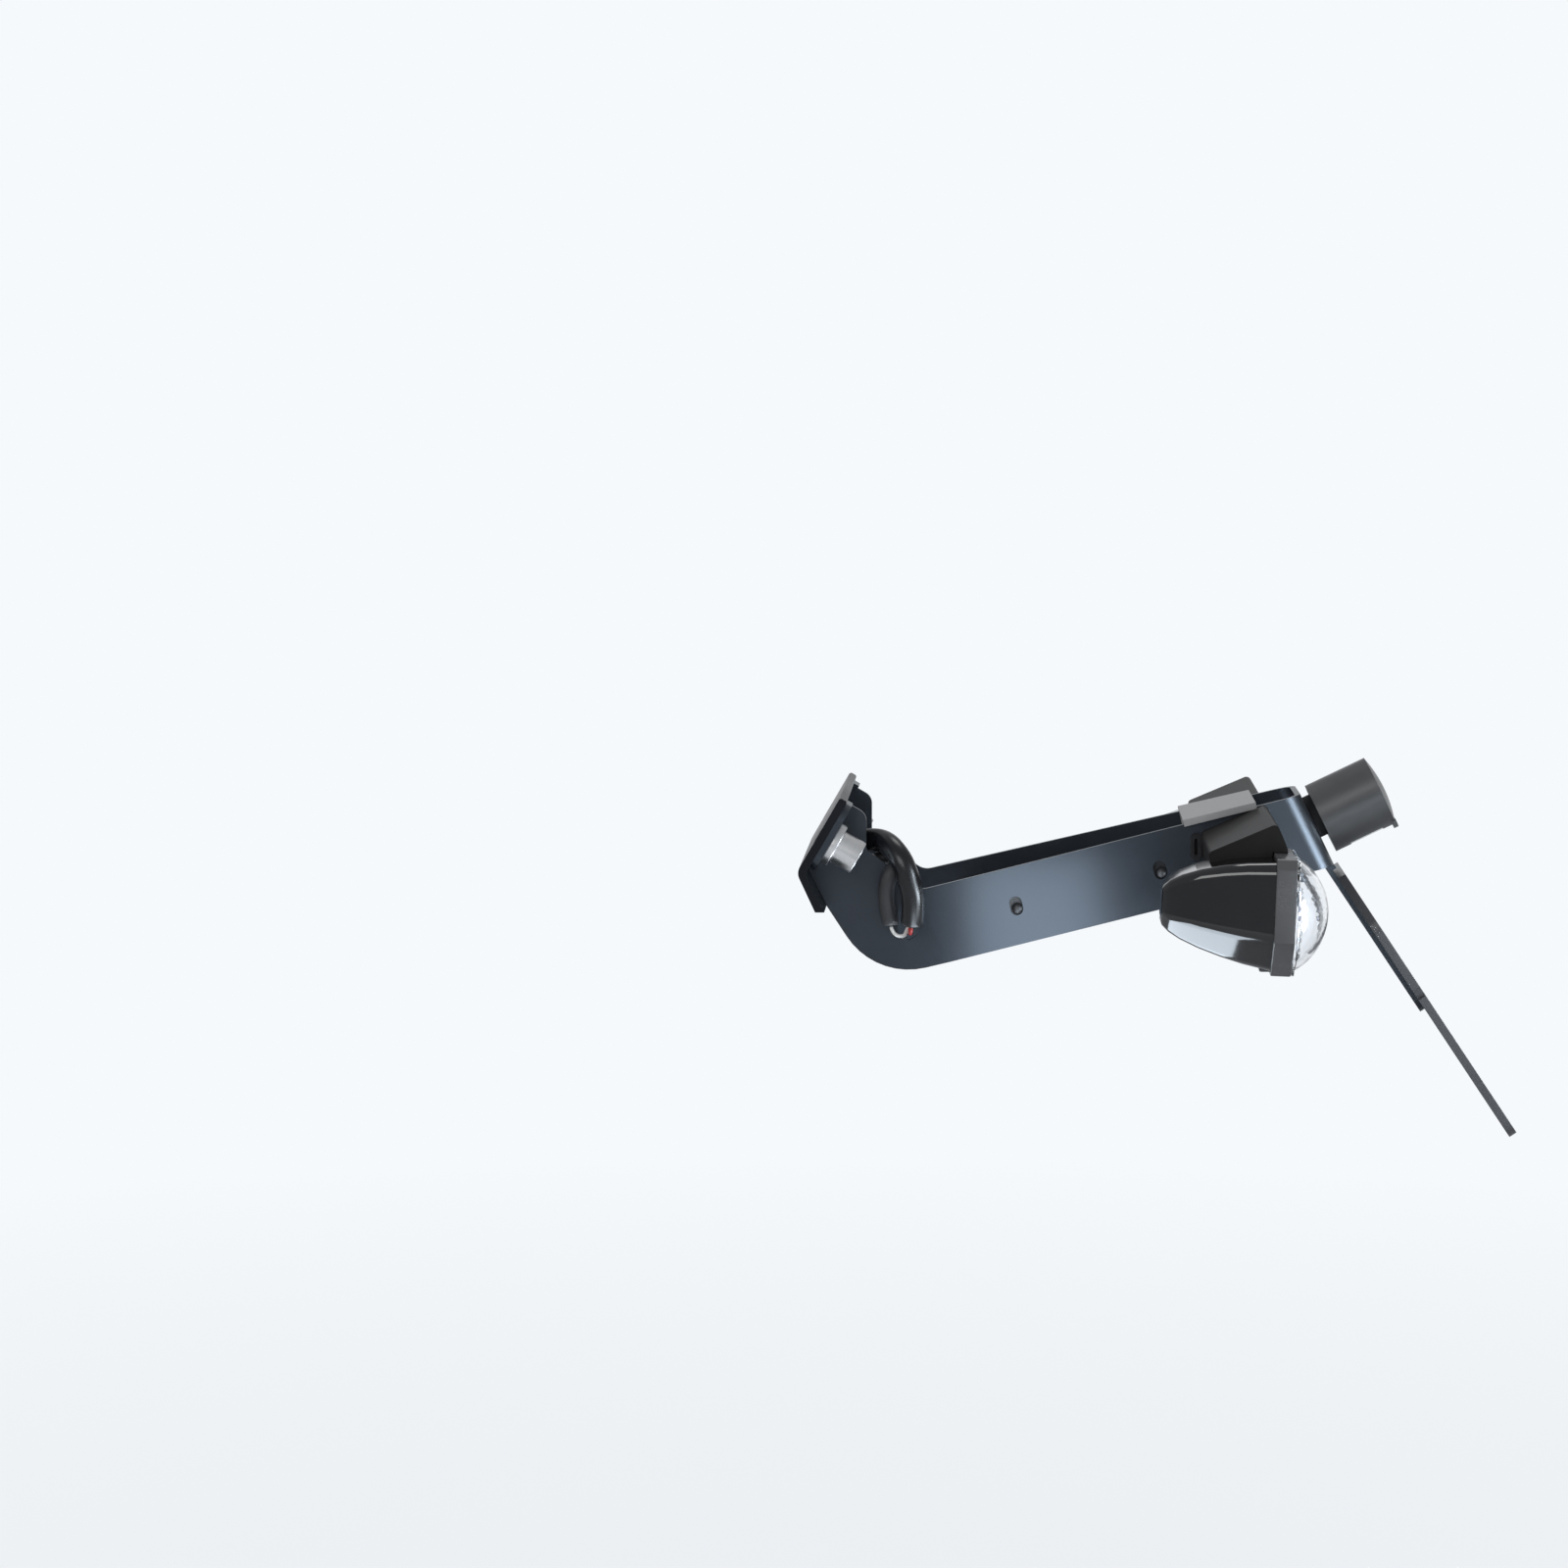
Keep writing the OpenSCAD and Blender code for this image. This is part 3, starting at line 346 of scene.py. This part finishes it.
# %% Powder coat
DUST = (0.12, 0.125, 0.13, 1)
BLUISH = {"IOR": 1.6, "Specular Tint": (0.78, 0.88, 1.0, 1)}


def powder(light, dark, peel, dust):
    def paint(graph):
        clouds = graph.noise(9, 4, 0.6)
        peel_noise = graph.noise(1500, 2, 0.45)
        specks = graph.span(graph.noise(5200, 1, 0.5), 0.74, 0.79)
        base = graph.blend(graph.span(clouds, 0.35, 0.7), dark, light)
        return {
            "Base Color": graph.blend(specks * dust, base, DUST),
            "Roughness": graph.span(clouds, 0.3, 0.7, 0.26, 0.36) + peel_noise * 0.05,
            "Normal": graph.bump(peel_noise, peel * MM),
        }
    return paint


bracket_black = surface("bracket_black", powder((0.018, 0.022, 0.029, 1), (0.012, 0.0145, 0.019, 1),
                                                peel=0.03, dust=0.35), BLUISH)
holder_black = surface("holder_black", powder((0.080, 0.081, 0.087, 1), (0.060, 0.061, 0.066, 1),
                                              peel=0.06, dust=0.2), {"IOR": 1.5})
adaptor_black = surface("adaptor_black", powder((0.013, 0.015, 0.019, 1), (0.008, 0.009, 0.012, 1),
                                                peel=0.06, dust=0.3), {"IOR": 1.4, "Specular IOR Level": 0.15})
print("powder coats ready")

# %% [markdown]
# The mounting collars are turned from aluminium bar. A cutting tool leaves fine rings round the axis, so
# a stretched noise along the collar's axis gives both the streaks and a little bump. The collars lean with
# the adaptor, and the texture leans with them. Studs, nuts and screws are plated steel with a soft bloom,
# and the rivets have the same recipe in black.

# %% Turned and plated metals
MOUNT_LEAN = 30


def turned(light, dark, rings, depth, roughness):
    def paint(graph):
        along = graph.node("ShaderNodeMapping", None,
                           {"Vector": graph.coords(), "Rotation": (0, radians(-MOUNT_LEAN), 0)})
        stretched = graph.node("ShaderNodeMapping", None, {"Vector": along, "Scale": (1, 0.02, 0.02)})
        streaks = graph.node("ShaderNodeTexNoise", None,
                             {"Vector": stretched, "Scale": rings, "Detail": 3.0, "Roughness": 0.6})
        return {
            "Base Color": graph.blend(graph.span(streaks, 0.3, 0.7), dark, light),
            "Roughness": graph.span(graph.noise(60, 3, 0.6), 0.3, 0.7, *roughness),
            "Normal": graph.bump(streaks, depth * MM),
        }
    return paint


def plated(light, dark, roughness):
    def paint(graph):
        bloom = graph.noise(240, 4, 0.6)
        return {
            "Base Color": graph.blend(graph.span(bloom, 0.35, 0.65), dark, light),
            "Roughness": graph.span(graph.noise(700), 0.3, 0.7, *roughness),
            "Normal": graph.bump(bloom, 0.02 * MM),
        }
    return paint


collar_aluminium = surface("collar_aluminium", turned((0.74, 0.73, 0.72, 1), (0.62, 0.62, 0.62, 1), rings=2400,
                                                      depth=0.006, roughness=(0.24, 0.34)), {"Metallic": 1.0})
zinc_steel = surface("zinc_steel", plated((0.78, 0.76, 0.68, 1), (0.58, 0.58, 0.56, 1), (0.24, 0.4)),
                     {"Metallic": 1.0})
rivet_black = surface("rivet_black", plated((0.030, 0.030, 0.033, 1), (0.014, 0.014, 0.016, 1), (0.3, 0.48)))
print("metals ready")

# %% [markdown]
# The saddle over the arm is a casting with a pale grey, slightly grainy lacquer. Stems, bezels and
# housings are black mouldings that differ only in their gloss, so one recipe makes all of them: a fine
# spark-eroded grain for the matt ones and a slow waviness for the glossy ones. A table gives each its
# light and dark colour, the fineness and depth in millimetres of its grain, and its roughness.

# %% Cast and moulded finishes
def moulded(light, dark, grain, depth, roughness):
    def paint(graph):
        wave = graph.noise(38, 3, 0.55)
        fine = graph.noise(grain)
        return {
            "Base Color": graph.blend(graph.span(wave, 0.35, 0.65), dark, light),
            "Roughness": graph.span(wave + fine * 0.4, 0.4, 0.95, *roughness),
            "Normal": graph.bump(fine, depth * MM),
        }
    return paint


def mouldings(table):
    made = {}
    for name, (light, dark, grain, depth, roughness, fixed) in table.items():
        made[name] = surface(name, moulded((*light, 1), (*dark, 1), grain, depth, roughness), fixed)
    return made


DULL = {"IOR": 1.45, "Specular IOR Level": 0.05, "Coat Weight": 0.12, "Coat Roughness": 0.16}
cast = mouldings({
    "saddle_grey": ((0.37, 0.368, 0.364), (0.31, 0.31, 0.31), 1900, 0.05, (0.4, 0.55), {"IOR": 1.5}),
    "stem_black": ((0.022, 0.0207, 0.020), (0.016, 0.015, 0.0147), 2300, 0.04, (0.6, 0.72), DULL),
    "moulded_black": ((0.022, 0.023, 0.026), (0.014, 0.014, 0.016), 2100, 0.05, (0.38, 0.55), {"IOR": 1.5}),
    "housing_gloss": ((0.006, 0.006, 0.007), (0.003, 0.003, 0.004), 260, 0.01, (0.05, 0.11), {"IOR": 1.65}),
    "bezel_black": ((0.105, 0.105, 0.108), (0.085, 0.085, 0.088), 1700, 0.02, (0.2, 0.3), {"IOR": 1.5}),
    "lamp_grey": ((0.086, 0.086, 0.087), (0.066, 0.067, 0.070), 1500, 0.03, (0.3, 0.42), {"IOR": 1.5}),
    "soft_rubber": ((0.014, 0.014, 0.015), (0.008, 0.008, 0.009), 900, 0.06, (0.5, 0.7),
                    {"IOR": 1.4, "Specular IOR Level": 0.3}),
    "board_green": ((0.035, 0.18, 0.08), (0.02, 0.11, 0.05), 800, 0.03, (0.26, 0.4), {"IOR": 1.5}),
})
print("mouldings:", len(cast))

# %% [markdown]
# The wiring runs in shrink sleeve. The thick sleeve is glossy and slightly wavy, the second one is
# duller, and the thin wires show their plain insulation colours.

# %% Sleeve and wire finishes
SOFT = {"IOR": 1.45}
cord = mouldings({
    "sleeve_gloss": ((0.007, 0.008, 0.010), (0.005, 0.005, 0.006), 130, 0.05, (0.24, 0.32), SOFT),
    "strand_grey": ((0.030, 0.030, 0.032), (0.020, 0.020, 0.022), 420, 0.1, (0.42, 0.6), SOFT),
    "lead_black": ((0.014, 0.014, 0.015), (0.009, 0.009, 0.010), 700, 0.05, (0.36, 0.5), SOFT),
    "wire_white": ((0.86, 0.86, 0.84), (0.74, 0.74, 0.71), 600, 0.03, (0.3, 0.42), SOFT),
    "wire_red": ((0.56, 0.030, 0.025), (0.42, 0.018, 0.016), 600, 0.03, (0.3, 0.42), SOFT),
})
print("wiring finishes:", len(cord))

# %% [markdown]
# The lenses are clear moulded plastic. Principled with full transmission bends the light through the
# real wall of the lens. A faint waviness and a few fine scratches in the roughness keep it from looking
# like still air. The reflector behind it is bright metal vapour on plastic, and so is the bulb's coating.

# %% Clear and bright finishes
CLEAR = {"Transmission Weight": 1.0, "IOR": 1.45}


def clear(light, dark, depth, roughness):
    def paint(graph):
        wave = graph.noise(70)
        scratches = graph.span(graph.noise(900, 3, 0.7, (1, 0.12, 1)), 0.55, 0.8)
        return {
            "Base Color": graph.blend(graph.span(wave, 0.35, 0.65), dark, light),
            "Roughness": graph.span(wave, 0.3, 0.7, *roughness) + scratches * 0.02,
            "Normal": graph.bump(wave, depth * MM),
        }
    return paint


clear_lens = surface("clear_lens", clear((0.98, 0.99, 1.0, 1), (0.94, 0.96, 0.985, 1), 0.02, (0.0, 0.03)), CLEAR)
lamp_window_clear = surface("lamp_window_clear", clear((0.94, 0.955, 0.965, 1), (0.88, 0.90, 0.92, 1), 0.1,
                                                       (0.08, 0.18)), CLEAR)
bulb_glass = surface("bulb_glass", plated((0.58, 0.55, 0.62, 1), (0.36, 0.36, 0.48, 1), (0.06, 0.16)),
                     {"Metallic": 0.7})
reflector_chrome = surface("reflector_chrome", plated((0.95, 0.96, 0.98, 1), (0.88, 0.90, 0.94, 1),
                                                      (0.16, 0.26)), {"Metallic": 1.0})
print("materials:", len(bpy.data.materials))

# %% [markdown]
# With the finishes ready, the sheet pieces get theirs. The bevel is about a third of a millimetre, which
# is what deburring and a coat of powder leave on cut sheet.

# %% Sheet pieces
finished("arm_bracket", bracket_black, 0.35)
finished("mount_adaptor", adaptor_black, 0.5)
finished("plate_holder", holder_black, 0.3)
finished("indicator_saddle", cast["saddle_grey"], 0.35)
finished("cable_cover", cast["moulded_black"], 0.3)

# %% [markdown]
# The pieces of the two sides are the same, so one loop finishes both. Mouldings have softer edges than
# turned metal, and the stems are the roundest of all. The housing's own curves are already fine, so only
# its true edges, which turn by more than 60 degrees, are bevelled.

# %% Mounting, indicators and fixings
for side in ("left", "right"):
    finished(side + "_mount_collar", collar_aluminium, 0.5)
    finished(side + "_stem", cast["stem_black"], 1.1)
    finished(side + "_stem_stud", zinc_steel, 0.4)
    finished(side + "_stem_nut", zinc_steel, 0.4)
    finished(side + "_wire_grommet", cast["soft_rubber"], 0.4)
    finished(side + "_housing", cast["housing_gloss"], 0.5, sharp=60)
    finished(side + "_bezel", cast["bezel_black"], 0.6)
    finished(side + "_lens", clear_lens, 0.3)
    finished(side + "_reflector", reflector_chrome, 0.2)
    finished(side + "_bulb", bulb_glass, 0.2)
    finished(side + "_bulb_holder", cast["moulded_black"], 0.3)
finished("carrier_rivets", rivet_black, 0.2)

# %% [markdown]
# Each bezel has a small tongue under the housing that a fingernail or a screwdriver can lift, because the
# bezel has to come off when the bulb is changed. It is a bevelled block that sinks a little into the
# bezel's front face.

# %% Lift tabs under the bezels
TAB_SIZE = (5.6 * MM, 11 * MM, 2.4 * MM)
for side in ("left", "right"):
    low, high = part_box(side + "_bezel")
    middle = (low[1] + high[1]) / 2
    bm = bmesh.new()
    bmesh.ops.create_cube(bm, size=1)
    bmesh.ops.scale(bm, verts=bm.verts, vec=TAB_SIZE)
    bmesh.ops.translate(bm, verts=bm.verts, vec=(low[0] - 1.9 * MM, middle, low[2] + 2.6 * MM))
    round_edges(bm, 0.7 * MM, segments=3)
    piece(side + "_bezel_tab", bm, cast["bezel_black"])
print("tabs added")

# %% [markdown]
# The plate lamp is a moulded tube on a rubber gasket. Its window is frosted a little, so that the light of
# the board behind it spreads over the number plate.

# %% Plate lamp
finished("lamp_gasket", cast["soft_rubber"], 0.5)
finished("lamp_body", cast["lamp_grey"], 0.8)
finished("lamp_window", lamp_window_clear, 0.3)
finished("lamp_board", cast["board_green"], 0.15)
finished("lamp_screws", zinc_steel, 0.3)

# %% [markdown]
# A sleeve has no edges to bevel, but its solid is a tube of few flat sides. Its triangles are joined to
# quads, and one level of subdivision rounds them. A curve with a bevel would be rounder from the start,
# but it would have to repeat the route, which the solid already knows.

# %% Wiring
WELD_FINE = 0.02 * MM


def soft_tube(node, finish):
    bm = merged(node, WELD_FINE)
    bmesh.ops.join_triangles(bm, faces=bm.faces, angle_face_threshold=radians(50),
                             angle_shape_threshold=radians(60))
    obj = piece(node + "_finished", bm, finish, (node,), crease=180)
    obj.modifiers.clear()
    smooth = obj.modifiers.new("round", "SUBSURF")
    smooth.levels = smooth.render_levels = 1
    print(node, "faces:", len(obj.data.polygons))


soft_tube("loom_sleeve", cord["sleeve_gloss"])
soft_tube("loom_strand", cord["strand_grey"])
soft_tube("white_wire", cord["wire_white"])
soft_tube("red_wire", cord["wire_red"])
for lead in ("loom_trunk", "lamp_lead", "left_indicator_lead", "right_indicator_lead"):
    soft_tube(lead, cord["lead_black"])
finished("loom_connector", cast["moulded_black"], 0.5)

# %% [markdown]
# The finishes must not make the part larger than its solids, so the two boxes are written down and can be
# compared after each run.

# %% Sizes for the record
as_list = lambda box: [[round(c, 6) for c in corner] for corner in box]
{"cad": as_list(cad_box), "visual": as_list(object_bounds())}
print("cad box", as_list(cad_box))
